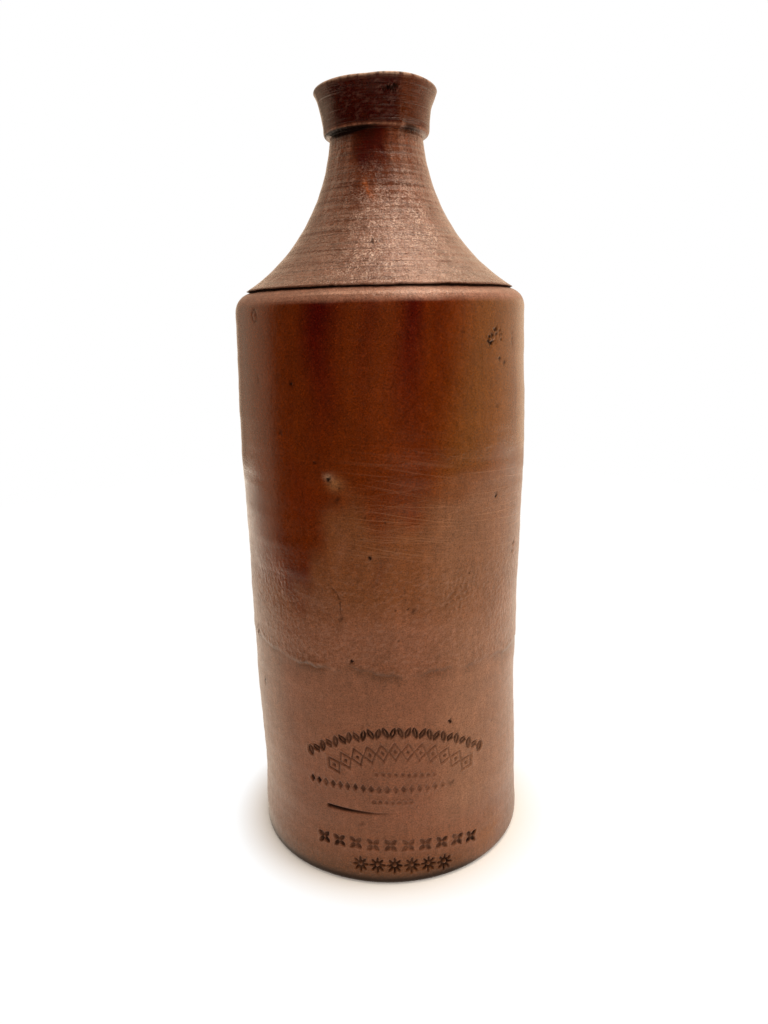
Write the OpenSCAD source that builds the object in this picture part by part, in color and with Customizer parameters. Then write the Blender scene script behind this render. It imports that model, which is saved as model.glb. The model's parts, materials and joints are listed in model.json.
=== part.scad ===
// Stoneware master ink bottle, thrown and turned in one piece. The upright body waves a little from foot to
// shoulder, a fine groove is cut round the shoulder, and the neck sweeps up from it in one hollow curve to a
// thick lip that spreads towards its flat top. The bottle is hollow and open at the mouth.
// The outer and the inner outline are half sections, radius against height, turned about Z.

/* [Body] */
// Height from the table to the middle of the shoulder groove
body_h = 183.1; // [160:0.1:240]
// Greatest diameter, at the belly
body_d = 92.6; // [84:0.2:140]
// Height of the belly
belly_z = 142; // [100:1:165]
// Height of the slight waist under the belly
waist_z = 64; // [35:1:95]
// How much smaller the radius is at the waist than at the belly
waist_in = 1.1; // [0:0.05:2.5]
// Height of the pinch just above the foot
heel_z = 20; // [8:1:30]
// How much smaller the radius is at the heel than at the belly
heel_in = 1.35; // [0:0.05:2.5]
// How much smaller the radius is at the foot than at the belly
foot_in = 0.7; // [0:0.05:2.5]
// Rounding of the foot's lower edge
foot_round = 1.8; // [0.6:0.1:4]

/* [Shoulder] */
// How much smaller the radius is where the shoulder starts to turn in than at the belly
shoulder_in = 0.65; // [0:0.05:2]
// Radius of the shoulder's curve
shoulder_round = 6; // [5:0.5:12]
// How far the neck's skirt stands in from the belly's radius
skirt_in = 4.5; // [3.6:0.1:5.5]
// How far the shoulder stands out past the skirt at the groove
groove_step = 0.3; // [0:0.05:0.6]
// Width of the groove
groove_w = 0.9; // [0.5:0.1:2]
// Depth of the groove behind the skirt
groove_depth = 1.3; // [0.4:0.1:2.5]

/* [Neck] */
// Height of the neck, from the middle of the groove to the underside of the lip
neck_h = 44.7; // [36:0.1:60]
// Thickness of clay round the mouth, just under the lip
neck_wall = 4.6; // [3:0.1:8]
// Radius of the neck's hollow sweep
flare_r = 58.6; // [45:0.2:90]

/* [Lip] */
// Height of the lip
lip_h = 13.5; // [9:0.1:22]
// How far the lip's lower edge stands out from the neck
lip_step = 2; // [1.7:0.1:5]
// How much further the lip's upper edge stands out
lip_spread = 2.4; // [0.6:0.1:5]
// Rounding of the lip's lower edge
lip_low_round = 1.6; // [0.4:0.1:1.9]
// Rounding of the lip's upper edge
lip_top_round = 1.1; // [0.3:0.1:2]
// Diameter of the mouth, as bored for a cork
mouth_d = 19; // [12:0.2:26]
// Rounding of the mouth's edge
mouth_round = 1.2; // [0.4:0.1:2.4]
// Depth of the straight bore that holds the cork
cork_depth = 20; // [12:0.5:28]

/* [Inside] */
// Thickness of the body's wall
wall = 5.2; // [3.5:0.1:9]
// Thickness of the floor
floor_h = 8; // [5:0.5:14]
// Rounding where the floor meets the wall
floor_round = 9; // [3:0.5:16]
// Length of the rounding where the wall turns in under the shoulder
throat_round = 5; // [2:0.5:8]

/* [Finish] */
// Steps in each round stretch of the outline
arc_steps = 10; // [6:1:16]
// Steps in each stretch of the body between two of its heights
wave_steps = 6; // [4:1:12]

/* [Hidden] */
$fn = 180;

belly_r = body_d / 2;
mouth_r = mouth_d / 2;
neck_r = mouth_r + neck_wall;
skirt_r = belly_r - skirt_in;
lip_low_r = neck_r + lip_step;
lip_top_r = lip_low_r + lip_spread;
lip_z = body_h + neck_h;
bottle_h = lip_z + lip_h;
cork_z = bottle_h - mouth_round - cork_depth;

// Shoulder curve: it leaves the body upright and ends at the groove's lower edge.
shoulder_r = belly_r - shoulder_in;
shoulder_turn = acos((skirt_r + groove_step - shoulder_r + shoulder_round) / shoulder_round);
shoulder_z = body_h - groove_w / 2 - shoulder_round * sin(shoulder_turn);

// Heights and radii between which the body waves.
body_stations = [
    [foot_round, belly_r - foot_in],
    [heel_z, belly_r - heel_in],
    [waist_z, belly_r - waist_in],
    [belly_z, belly_r],
    [shoulder_z, shoulder_r],
];

// Neck sweep, from the skirt's edge over the groove up to the lip's underside.
skirt_edge = [skirt_r, body_h + groove_w / 2];
neck_top = [neck_r, lip_z];
flare_centre = centre_of(skirt_edge, neck_top, flare_r);

// Throat, one wall's thickness behind the sweep, up to the lower end of the cork's bore.
throat_r = flare_r + wall;
throat_foot = flare_centre + (skirt_edge - flare_centre) * throat_r / flare_r;
throat_centre = centre_of(throat_foot, [mouth_r, cork_z], throat_r);

// Inner wall where it turns in under the shoulder.
chamber_r = shoulder_r - wall;
chamber_top = [chamber_r, throat_z(chamber_r)];
throat_start = [chamber_r - throat_round, throat_z(chamber_r - throat_round)];

// Centre of the arc of radius r through a and b that hollows towards the outside.
function centre_of(a, b, r) =
    let (chord = b - a, half = norm(chord) / 2)
    (a + b) / 2 + [chord[1], -chord[0]] / (2 * half) * sqrt(r * r - half * half);

// Height of the throat's curve at radius r.
function throat_z(r) = throat_centre[1] - sqrt(throat_r * throat_r - pow(throat_centre[0] - r, 2));

// Points on an arc round c, from angle a to angle b.
function arc(c, r, a, b) =
    [for (i = [0:arc_steps]) let (t = a + (b - a) * i / arc_steps) c + r * [cos(t), sin(t)]];

// The same arc given by its two end points.
function arc_between(c, a, b) = arc(c, norm(a - c), angle_from(c, a), angle_from(c, b));

// Direction from c to p, counted from 0 to 360 degrees.
function angle_from(c, p) = let (t = atan2(p[1] - c[1], p[0] - c[0])) t < 0 ? t + 360 : t;

// Soft corner: a quadratic curve from a to b that heads for c, from its step first on.
function soften(a, c, b, first) =
    [for (i = [first:arc_steps]) let (t = i / arc_steps)
        (1 - t) * (1 - t) * a + 2 * t * (1 - t) * c + t * t * b];

// Easing from 0 to 1 that starts and ends level.
function ease(t) = (1 - cos(180 * t)) / 2;

// Outer radius of the body at height z, eased between the stations on either side.
function body_r(z, k = 0) =
    let (a = body_stations[k], b = body_stations[k + 1])
    z > b[0] && k < len(body_stations) - 2
        ? body_r(z, k + 1)
        : a[1] + (b[1] - a[1]) * ease((z - a[0]) / (b[0] - a[0]));

// Outside of the foot, body and shoulder, up to the bottom of the groove.
function body_outline() = concat(
    arc([belly_r - foot_in - foot_round, foot_round], foot_round, -90, 0),
    [for (k = [0:len(body_stations) - 2]) for (i = [1:wave_steps])
        let (z = body_stations[k][0] + (body_stations[k + 1][0] - body_stations[k][0]) * i / wave_steps)
        [body_r(z), z]],
    arc([shoulder_r - shoulder_round, shoulder_z], shoulder_round, shoulder_turn / arc_steps, shoulder_turn),
    [[skirt_r - groove_depth, body_h]]
);

// Outside of the neck, from the skirt over the groove to the lip.
function neck_outline() = arc_between(flare_centre, skirt_edge, neck_top);

// Outside of the lip: undercut, lower round, spreading side, upper round and flat top to the mouth.
function lip_outline() =
    let (
        side_h = lip_h - lip_low_round - lip_top_round,
        side_r = (side_h * side_h + lip_spread * lip_spread) / (2 * lip_spread),
        side_c = [lip_low_r + side_r, lip_z + lip_low_round]
    )
    concat(
        arc([lip_low_r - lip_low_round, lip_z + lip_low_round], lip_low_round, -90, -90 / arc_steps),
        arc(side_c, side_r, 180, 180 - asin(side_h / side_r)),
        arc([lip_top_r - lip_top_round, bottle_h - lip_top_round], lip_top_round, 90 / arc_steps, 90),
        arc([mouth_r + mouth_round, bottle_h - mouth_round], mouth_round, 90, 180)
    );

// Inside, from the cork's bore down the throat and the chamber's wall to the middle of the floor.
function inner_outline() =
    let (
        high_z = chamber_top[1] - throat_round,
        low_z = floor_h + floor_round,
        steps = 4 * wave_steps
    )
    concat(
        arc_between(throat_centre, [mouth_r, cork_z], throat_start),
        soften(throat_start, chamber_top, [body_r(high_z) - wall, high_z], 1),
        [for (i = [1:steps - 1]) let (z = high_z + (low_z - high_z) * i / steps) [body_r(z) - wall, z]],
        arc([body_r(low_z) - wall - floor_round, low_z], floor_round, 0, -90),
        [[0, floor_h]]
    );

module bottle() {
    color("saddlebrown")
        rotate_extrude()
            polygon(concat([[0, 0]], body_outline(), neck_outline(), lip_outline(), inner_outline()));
}

bottle();
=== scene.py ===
import json

import bpy
import numpy as np
from mathutils import Matrix, Vector


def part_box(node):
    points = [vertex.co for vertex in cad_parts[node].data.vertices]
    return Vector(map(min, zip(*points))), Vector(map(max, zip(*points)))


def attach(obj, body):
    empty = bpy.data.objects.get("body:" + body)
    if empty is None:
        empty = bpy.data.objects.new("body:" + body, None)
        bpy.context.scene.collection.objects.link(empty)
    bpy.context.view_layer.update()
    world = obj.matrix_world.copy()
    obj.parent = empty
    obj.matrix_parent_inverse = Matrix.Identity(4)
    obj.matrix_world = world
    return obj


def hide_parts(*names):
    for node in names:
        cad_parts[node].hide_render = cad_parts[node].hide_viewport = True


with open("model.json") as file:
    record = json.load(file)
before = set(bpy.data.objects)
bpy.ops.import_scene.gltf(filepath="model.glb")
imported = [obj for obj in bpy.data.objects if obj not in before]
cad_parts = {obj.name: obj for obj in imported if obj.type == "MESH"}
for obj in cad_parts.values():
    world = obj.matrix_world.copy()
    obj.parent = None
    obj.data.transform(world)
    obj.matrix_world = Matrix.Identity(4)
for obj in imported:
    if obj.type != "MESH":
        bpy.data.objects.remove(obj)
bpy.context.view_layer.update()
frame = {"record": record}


# The turned form
# The bottle was thrown from one lump of clay on a wheel and trimmed while it turned: a body that waves a
# little, a shoulder with a line cut round it, a swept neck and a thick lip. Its outline is one profile,
# from the middle of the underside over the lip and down inside to the middle of the floor.
MM = 0.001
low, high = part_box("bottle")
mouth = next(m for m in frame["record"]["mounts"] if m["name"] == "mouth")
bottle_h = high[2] / MM
belly_r = (high[0] - low[0]) / 2 / MM
mouth_r = mouth["dims"]["r_mm"]
bore_length = mouth["dims"]["length_mm"]

foot_round = 1.8
lip_h = 13.5
neck_h = 44.7
lip_z = bottle_h - lip_h
groove_z = lip_z - neck_h
groove_w = 0.9
groove_depth = 1.3
lip_step = 2.0
lip_spread = 2.4
lip_under_round = 1.6
lip_edge_round = 1.1
mouth_round = 1.2
skirt_r = belly_r - 4.5
neck_r = mouth_r + 4.6
flare_r = 58.6
wall = 5.2
floor_z = 8.0
floor_round = 9.0
shoulder_round = 6.0
shoulder_r = belly_r - 0.65
shoulder_end_r = skirt_r + 0.3
shoulder_turn = np.degrees(np.arccos((shoulder_end_r - shoulder_r + shoulder_round) / shoulder_round))
shoulder_z = groove_z - groove_w / 2 - shoulder_round * np.sin(np.radians(shoulder_turn))
body_heights = [foot_round, 20.0, 64.0, 142.0, shoulder_z]
body_radii = [belly_r - 0.7, belly_r - 1.35, belly_r - 1.1, belly_r, shoulder_r]


def eased(x, stations, values):
    """Value at x between stations, with a level tangent at each: a half cosine wave joins each pair."""
    x = np.asarray(x, float)
    k = np.clip(np.searchsorted(stations, x) - 1, 0, len(stations) - 2)
    start, end = np.take(stations, k), np.take(stations, k + 1)
    t = np.clip((x - start) / (end - start), 0, 1)
    return np.take(values, k) + np.diff(values)[k] * (1 - np.cos(np.pi * t)) / 2


def smooth(start, end, x):
    """0 before start, 1 after end and the cubic 3t^2 - 2t^3 between them; start may be above end."""
    t = np.clip((x - start) / (end - start), 0, 1)
    return t * t * (3 - 2 * t)


def bump_at(x, middle, width):
    """Bell curve exp(-((x - middle) / width)^2)."""
    return np.exp(-((x - middle) / width) ** 2)


def arc(centre, radius, start, end, steps):
    """Points (radius from the axis, height) on a circle, at even angles from start to end in degrees."""
    t = np.radians(np.linspace(start, end, steps + 1))
    return np.stack([centre[0] + radius * np.cos(t), centre[1] + radius * np.sin(t)], 1)


def arc_centre(a, b, radius):
    """Centre of the circle through a and b that lies on the outer side of the line from a up to b."""
    chord = np.subtract(b, a)
    half = np.hypot(*chord) / 2
    side = np.array([chord[1], -chord[0]]) / (2 * half)
    return np.add(a, b) / 2 + side * np.sqrt(radius ** 2 - half ** 2)


def arc_between(centre, a, b, steps):
    """Arc round a centre from point a to point b, turning through their directions from it."""
    ends = [np.degrees(np.arctan2(p[1] - centre[1], p[0] - centre[0])) % 360 for p in (a, b)]
    return arc(centre, np.hypot(*np.subtract(a, centre)), *ends, steps)


def straight(a, b, steps):
    """Even points from a to b, without b."""
    return np.linspace(a, b, steps, endpoint=False)


skirt_edge = np.array([skirt_r, groove_z + groove_w / 2])
neck_top = np.array([neck_r, lip_z])
flare_centre = arc_centre(skirt_edge, neck_top, flare_r)
bore_end = np.array([mouth_r, bottle_h - mouth_round - bore_length])
throat_radius = flare_r + wall
throat_foot = flare_centre + (skirt_edge - flare_centre) * throat_radius / flare_r
throat_centre = arc_centre(throat_foot, bore_end, throat_radius)
chamber_r = shoulder_r - wall
turn_in = 5.0


def throat_height(r):
    """Height of the throat's arc at a radius."""
    return throat_centre[1] - np.sqrt(throat_radius ** 2 - (throat_centre[0] - r) ** 2)


throat_start = np.array([chamber_r - turn_in, throat_height(chamber_r - turn_in)])
chamber_top = np.array([chamber_r, throat_height(chamber_r)])
soft_t = np.linspace(0, 1, 7)[:, None]
soft_end = chamber_top - [0, turn_in]
soft_corner = (1 - soft_t) ** 2 * throat_start + soft_t ** 2 * soft_end
soft_corner += 2 * soft_t * (1 - soft_t) * chamber_top
low_wall = floor_z + floor_round

body_z = np.linspace(foot_round, shoulder_z, 147)
inner_z = np.linspace(soft_end[1], low_wall, 16)
inner_radii = eased(inner_z, body_heights, body_radii) - wall
lip_low_r = neck_r + lip_step
side_h = lip_h - lip_under_round - lip_edge_round
side_radius = (side_h ** 2 + lip_spread ** 2) / (2 * lip_spread)
lip_top_r = lip_low_r + lip_spread
near_top_z = lip_z - 2.6
near_top = [flare_centre[0] - np.sqrt(flare_r ** 2 - (near_top_z - flare_centre[1]) ** 2), near_top_z]
flat_top_edge = [lip_top_r - lip_edge_round, bottle_h]
notch = [skirt_r - groove_depth, groove_z]
ledge = [shoulder_end_r, groove_z - groove_w / 2]
outline = np.concatenate([
    [[4, 0], [14, 0], [26, 0], [36, 0], [41, 0]],
    arc([body_radii[0] - foot_round, foot_round], foot_round, -90, 0, 6),
    np.stack([eased(body_z, body_heights, body_radii), body_z], 1)[1:],
    arc([shoulder_r - shoulder_round, shoulder_z], shoulder_round, 0, shoulder_turn, 9)[1:],
    straight(ledge, notch, 5)[1:],
    straight(notch, skirt_edge, 5),
    arc_between(flare_centre, skirt_edge, near_top, 48),
    arc_between(flare_centre, near_top, neck_top, 9)[1:],
    arc([lip_low_r - lip_under_round, lip_z + lip_under_round], lip_under_round, -90, 0, 6)[:-1],
    arc([lip_low_r + side_radius, lip_z + lip_under_round], side_radius, 180,
        180 - np.degrees(np.arcsin(side_h / side_radius)), 14),
    arc([lip_top_r - lip_edge_round, bottle_h - lip_edge_round], lip_edge_round, 0, 90, 6)[1:],
    straight(flat_top_edge, [mouth_r + mouth_round, bottle_h], 7)[1:],
    arc([mouth_r + mouth_round, bottle_h - mouth_round], mouth_round, 90, 180, 5),
    straight([mouth_r, bottle_h - mouth_round], bore_end, 9)[1:],
    arc_between(throat_centre, bore_end, throat_start, 16)[:-1],
    soft_corner,
    np.stack([inner_radii, inner_z], 1)[1:-1],
    arc([inner_radii[-1] - floor_round, low_wall], floor_round, 0, -90, 6),
    [[20, floor_z], [9, floor_z], [3, floor_z]],
])
path = np.concatenate([[0], np.cumsum(np.hypot(*np.diff(outline, axis=0).T))])
lip_path = path[np.argmin(np.hypot(*(outline - flat_top_edge).T))]

# The mesh's columns, closest together on the front. Azimuths are in degrees, positive to the right.
front_az = np.linspace(-78, 78, 104, endpoint=False)
back_az = np.linspace(78, 282, 60, endpoint=False)
column_az = np.concatenate([front_az, back_az])


# The marks of making and use
# While it was wet the clay took ripples from the fingers, a slight lean and oval, and the potter's stamps.
# The iron wash and the salt glaze then left a ridge where the dipping stopped, pits where the clay spat,
# a crack, a torn lump under the lip and chips along the cut line.
def ripples(az, z, count, finest, seed, stretch=1.0):
    """Sum of cosine waves that meet round the back: whole waves round the bottle, any wave up it.

    finest is the shortest wavelength in millimetres, stretch makes the waves longer round than up.
    """
    rng = np.random.default_rng(seed)
    reach = 2 * np.pi / finest
    angle = rng.uniform(0, 2 * np.pi, count)
    size = reach * np.sqrt(rng.uniform(0.02, 1, count))
    around = np.round(size * np.cos(angle) * belly_r / stretch)
    up = size * np.sin(angle)
    phase = rng.uniform(0, 2 * np.pi, count)
    total = np.zeros_like(z, dtype=float)
    for m, q, p in zip(around, up, phase):
        total += np.cos(m * np.radians(az) + q * z + p)
    return total / np.sqrt(count / 2)


def around_gap(az, middle):
    """Signed angle from middle to az, between -180 and 180 degrees."""
    return (np.asarray(az) - middle + 180) % 360 - 180


# Each pit: azimuth in degrees, height, radius and depth in millimetres, darkness from 0 to 1.
pits = [
    (-33.2, 157.5, 0.6, 0.4, 1.0), (-39.3, 143.4, 0.45, 0.3, 0.7), (-24.8, 135.8, 0.4, 0.3, 0.8),
    (-19.7, 131.3, 0.65, 0.6, 1.0), (-12.1, 134.3, 0.3, 0.15, 0.6), (-15.6, 128.8, 0.35, 0.15, 0.7),
    (-16.5, 125.5, 0.35, 0.15, 0.7), (46.7, 122.7, 0.45, 0.3, 1.0), (46.0, 149.6, 0.5, 0.1, 0.4),
    (29.4, 170.7, 0.45, 0.1, 0.4), (-5.1, 108.7, 0.55, 0.35, 1.0), (-2.9, 113.0, 0.3, 0.15, 0.6),
    (0.3, 119.0, 0.35, 0.15, 0.5), (-6.7, 120.5, 0.4, 0.15, 0.5), (3.7, 92.4, 0.4, 0.15, 0.6),
    (8.3, 92.7, 0.35, 0.15, 0.6), (10.8, 91.7, 0.4, 0.15, 0.65), (13.4, 92.4, 0.4, 0.15, 0.5),
    (4.6, 82.8, 0.35, 0.15, 0.5), (6.4, 82.4, 0.3, 0.15, 0.5), (-12.9, 76.6, 0.55, 0.6, 1.0),
    (25.3, 54.2, 0.62, 0.5, 1.0), (47.7, 48.4, 0.4, 0.15, 0.5), (-12.0, 20.9, 0.45, 0.3, 0.55),
    (25.4, 33.0, 0.4, 0.25, 0.6), (-66.0, 76.0, 0.8, 0.6, 0.8), (33.0, 101.0, 0.35, 0.15, 0.6),
    (104.0, 121.0, 0.6, 0.4, 0.9), (141.0, 88.0, 0.7, 0.5, 0.9), (176.0, 150.0, 0.5, 0.4, 0.8),
    (-128.0, 62.0, 0.6, 0.5, 0.9), (-155.0, 134.0, 0.5, 0.4, 0.8), (-100.0, 166.0, 0.6, 0.3, 0.7),
    (120.0, 38.0, 0.6, 0.5, 0.9), (-170.0, 30.0, 0.5, 0.3, 0.7), (155.0, 118.0, 0.4, 0.2, 0.7),
]
# Each scab, a rough dark patch: azimuth, height, half width and half height in millimetres, darkness.
scabs = [
    (42.6, 168.0, 1.7, 1.9, 1.0), (45.6, 170.6, 1.6, 1.2, 0.8), (48.4, 169.0, 0.9, 1.4, 0.6),
    (47.7, 163.2, 0.6, 0.7, 0.9), (50.7, 161.6, 0.8, 0.5, 0.8), (56.7, 168.0, 0.7, 2.0, 0.45),
    (62.7, 104.8, 0.9, 2.0, 0.85), (60.6, 103.0, 0.7, 0.8, 0.6), (-62.1, 59.8, 0.8, 1.7, 0.8),
    (15.2, 237.4, 2.3, 1.2, 1.0), (9.5, 237.0, 1.8, 0.6, 0.6), (-3.5, 195.7, 1.6, 0.8, 0.7),
    (-51.0, 158.0, 0.8, 1.6, 0.3), (100.0, 150.0, 1.8, 2.4, 0.8), (-140.0, 105.0, 1.5, 2.2, 0.7),
]
# Each scratch or crack: points as azimuth and height, half width, depth (raised if below 0), darkness.
scratches = [
    ([(-20.4, 99.4), (-17.9, 97.4), (-16.8, 95.2), (-17.0, 92.0), (-16.3, 88.6)], 0.17, 0.3, 0.6),
    ([(-53.6, 176.6), (-51.9, 178.0), (-50.4, 176.4), (-51.4, 174.4), (-52.8, 174.4), (-53.6, 176.6)],
     0.25, 0.14, 0.6),
    ([(-34, 117.2), (-8, 117.0), (14, 118.1), (40, 119.8), (58, 121.5)], 0.2, -0.06, 0.0),
    ([(-36, 111.6), (-22, 110.8), (-6, 110.7), (8, 111.4)], 0.2, -0.05, 0.0),
    ([(6, 135.8), (28, 137.0), (50, 138.9)], 0.2, -0.05, 0.0),
    ([(22, 117.6), (38, 119.2), (56, 124.6)], 0.2, -0.05, 0.0),
    ([(-14, 131.5), (10, 132.2), (26, 133.6)], 0.18, 0.05, 0.12),
    ([(-34, 96.2), (-27, 95.4)], 0.25, -0.08, 0.0),
    ([(70, 96), (110, 93.5), (150, 95)], 0.2, 0.06, 0.1), ([(-102, 128), (-140, 131.5)], 0.2, -0.05, 0.0),
]
# The dip's edge as seen: azimuths and the height at each.
dip_az = [-180, -120, -62, -49, -42, -33, -22, -19, -13, -9, -5.6, 3.3, 7.6, 16, 22, 39, 71, 120, 180]
dip_z = [72.5, 74.5, 75.2, 75.0, 73.8, 74.2, 74.0, 73.2, 75.6, 74.6, 73.5, 72.2, 70.9, 72.6, 72.4, 71.6,
         70.1, 71.0, 72.5]

# Where the glaze is crinkled, where the clay is torn under the lip, and the chips along the shoulder's
# cut line.
crinkle_az, crinkle_z = 26.5, 94.5
tear_az, tear_lump_az, tear_crease_az = 42, 27, 25
chip_az = (-18.3, 7.7, 27.4, 96.0, 171.0, -120.0)
# The lean: shifts to the right in millimetres, by height.
lean_z, lean_shift = [0, 20, 62, 100, 126, 300], [0.42, 0.3, -0.62, -0.25, 0, 0]


def dip_line(az):
    """Height of the dip's edge: the seen line between its stations, with a small ragged wander."""
    seen = np.interp(around_gap(az, 0), dip_az, dip_z)
    return seen + 0.35 * ripples(az, np.zeros_like(seen), 14, 6.0, 5)


def mark_distance(az, z, mark_az, mark_z):
    """Signed distances in millimetres round the bottle and up it from a mark."""
    return np.radians(around_gap(az, mark_az)) * np.interp(mark_z, outline_z, outline_r), z - mark_z


def pit_field(az, z):
    """Bell of each pit's radius, edge stirred, 0.45 of it filled by glaze: depth in mm and darkness."""
    depth = np.zeros_like(z)
    dark = np.zeros_like(z)
    stirred = 1 + 0.22 * ripples(az, z, 16, 0.9, 41)
    for pit_az, pit_z, radius, deep, shade in pits:
        reach = np.hypot(*mark_distance(az, z, pit_az, pit_z)) * stirred
        depth += 0.55 * deep * bump_at(reach, 0, radius * 1.1)
        dark = np.maximum(dark, shade * smooth(1.35, 0.65, reach / radius))
    return depth, dark


def scab_field(az, z):
    """Oval bells broken up by millimetre ripples, a crust with pits in it: depth and darkness."""
    depth = np.zeros_like(z)
    dark = np.zeros_like(z)
    crust = ripples(az, z, 40, 1.1, 42)
    for scab_az, scab_z, half_width, half_height, shade in scabs:
        across, up = mark_distance(az, z, scab_az, scab_z)
        inside = np.exp(-((across / half_width) ** 2 + (up / half_height) ** 2))
        depth += inside * (0.1 + 0.14 * crust) * shade
        crumbly = inside + 0.3 * crust * smooth(0.05, 0.3, inside)
        dark = np.maximum(dark, shade * smooth(0.5, 0.95, crumbly))
    return depth, dark


def scratch_field(az, z):
    """Bell of the distance to each scratch's polyline: depth and darkness."""
    depth = np.zeros_like(z)
    dark = np.zeros_like(z)
    for line, half_width, deep, shade in scratches:
        middle_az, middle_z = np.mean(line, axis=0)
        u, v = mark_distance(az, z, middle_az, middle_z)
        corners = np.stack(mark_distance(*np.transpose(line), middle_az, middle_z), 1)
        nearest = np.full(z.shape, np.inf)
        for start, end in zip(corners[:-1], corners[1:]):
            run = end - start
            t = np.clip(((u - start[0]) * run[0] + (v - start[1]) * run[1]) / run.dot(run), 0, 1)
            nearest = np.minimum(nearest, np.hypot(u - start[0] - t * run[0], v - start[1] - t * run[1]))
        bell = bump_at(nearest, 0, half_width)
        depth += deep * bell
        dark = np.maximum(dark, shade * bell)
    return depth, dark


outer_rows = path < lip_path
outline_z, first_row = np.unique(outline[outer_rows, 1], return_index=True)
outline_r = outline[outer_rows, 0][first_row]


# The stamped ornament
# Low on the front the potter pressed rows of small stamps into the wet clay: leaves, framed lozenges, dots
# and rosettes in arched rows, with one plain rule. Dark glaze pooled in what was pressed deepest.
def leaf(u, v, width, height, number):
    """Pointed leaf with a midrib: half width times 1 - (v / half height)^2, leaning either way by turns."""
    lean = np.where(number % 2 == 0, 0.32, -0.32)
    blade = np.abs(u - lean * v) - width / 2 * (1 - (2 * v / height) ** 2)
    return np.maximum(blade, 0.13 - np.abs(u - lean * v) - 0.1 * np.abs(v))


def lozenge(u, v, width, height, number):
    """Upright lozenge: |u| / half width + |v| / half height is 1 on its edge."""
    off_edge = np.abs(2 * u / width) + np.abs(2 * v / height) - 1
    return off_edge * width * height / (2 * np.hypot(width, height))


def framed_lozenge(u, v, width, height, number):
    """Outline of a lozenge 0.5 mm wide with a smaller lozenge in its middle."""
    frame_edge = np.abs(lozenge(u, v, width, height, number)) - 0.25
    return np.minimum(frame_edge, lozenge(u, v, width * 0.34, height * 0.3, number))


def dot(u, v, width, height, number):
    """Round dot."""
    return np.hypot(u, v) - width / 2


def rosette(u, v, width, height, number):
    """Eight petals round a raised eye: reach 0.72 + 0.28 cos 8a at angle a, in half widths."""
    reach = np.hypot(2 * u / width, 2 * v / height)
    petals = 0.72 + 0.28 * np.cos(8 * np.arctan2(v * width, u * height))
    return np.maximum((reach - petals) * width / 2.6, 0.55 - np.hypot(u, v))


def four_leaves(u, v, width, height, number):
    """Four pointed leaves on the diagonals, round a small gap."""
    a, b = np.abs(u + v) / 1.414, np.abs(u - v) / 1.414
    length = width * 0.52
    return np.minimum(*(np.maximum(q - 1.15 * p * (1 - p / length), 0.3 - p)
                        for p, q in ((a, b), (b, a))))


# Each row: motif, azimuth of its middle, height there, length, sag of the arch, tilt from left to right,
# count, motif width and height, depth, darkness at the left end, the middle and the right end.
stamp_rows = [
    (leaf, 3.5, 53.0, 57.0, 10.0, -1.9, 26, 2.0, 3.9, 0.6, (1.0, 1.0, 0.75)),
    (framed_lozenge, 5.0, 46.5, 43.0, 6.9, -2.4, 12, 3.6, 5.6, 0.55, (0.8, 0.4, 0.4)),
    (dot, 6.2, 38.6, 18.0, 0.3, -1.6, 10, 1.25, 1.9, 0.35, (0.35, 0.3, 0.3)),
    (lozenge, -4.5, 33.8, 45.0, 0.3, -0.8, 19, 1.8, 2.8, 0.5, (1.0, 0.6, 0.15)),
    (dot, 0.5, 29.3, 11.5, 0.1, -0.4, 7, 1.25, 1.8, 0.35, (0.5, 0.35, 0.15)),
    (four_leaves, 2.7, 13.9, 50.0, 1.6, -2.6, 10, 5.2, 5.2, 0.6, (1.0, 0.45, 1.0)),
    (rosette, 4.0, 6.9, 27.0, 0.6, -1.5, 6, 5.2, 5.4, 0.65, (0.95, 0.95, 1.0)),
]
rule_az, rule_z, rule_length, rule_sag = -8.0, 25.6, 30.0, 0.9


def press(az, z):
    """Depth in millimetres and darkness of all stamps: soft-walled motifs spaced along each arched row."""
    depth = np.zeros_like(z)
    dark = np.zeros_like(z)
    rng = np.random.default_rng(11)
    uneven = ripples(az, z, 20, 3.0, 12)
    for motif, row_az, row_z, length, sag, tilt, count, width, height, deep, shades in stamp_rows:
        u = np.radians(around_gap(az, row_az)) * body_radii[2]
        share = u / length
        pitch = length / (count - 1)
        number = np.clip(np.round(share * (count - 1) + (count - 1) / 2), 0, count - 1).astype(int)
        weight = rng.uniform(0.72, 1.0, count)[number] + 0.12 * uneven
        slope = -8 * sag * share / length + tilt / length
        v = (z - row_z + 4 * sag * share ** 2 - tilt * share) / np.sqrt(1 + slope ** 2)
        v += rng.uniform(-0.12, 0.12, count)[number]
        along = u - (number - (count - 1) / 2) * pitch + v * slope
        edge = motif(along, v, width, height, number) + 0.05 * uneven
        shade = np.clip(np.interp(share, (-0.5, 0, 0.5), shades) * weight, 0, 1)
        depth += deep * (0.4 + 0.6 * shade) * smooth(0.1, -0.28, edge)
        depth -= 0.17 * bump_at(edge, 0.36, 0.2)
        dark = np.maximum(dark, shade * smooth(0.14, -0.16, edge))
    u = np.radians(around_gap(az, rule_az)) * body_radii[2] / rule_length
    fade = smooth(0.5, -0.35, u) * smooth(-0.52, -0.48, u)
    drop = np.abs(z - rule_z + rule_sag * (1 - 4 * u ** 2) * 0.5) - 0.5 * fade
    depth += 0.6 * fade * smooth(0.2, -0.3, drop)
    dark = np.maximum(dark, fade * smooth(0.2, -0.15, drop))
    return depth, dark


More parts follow.
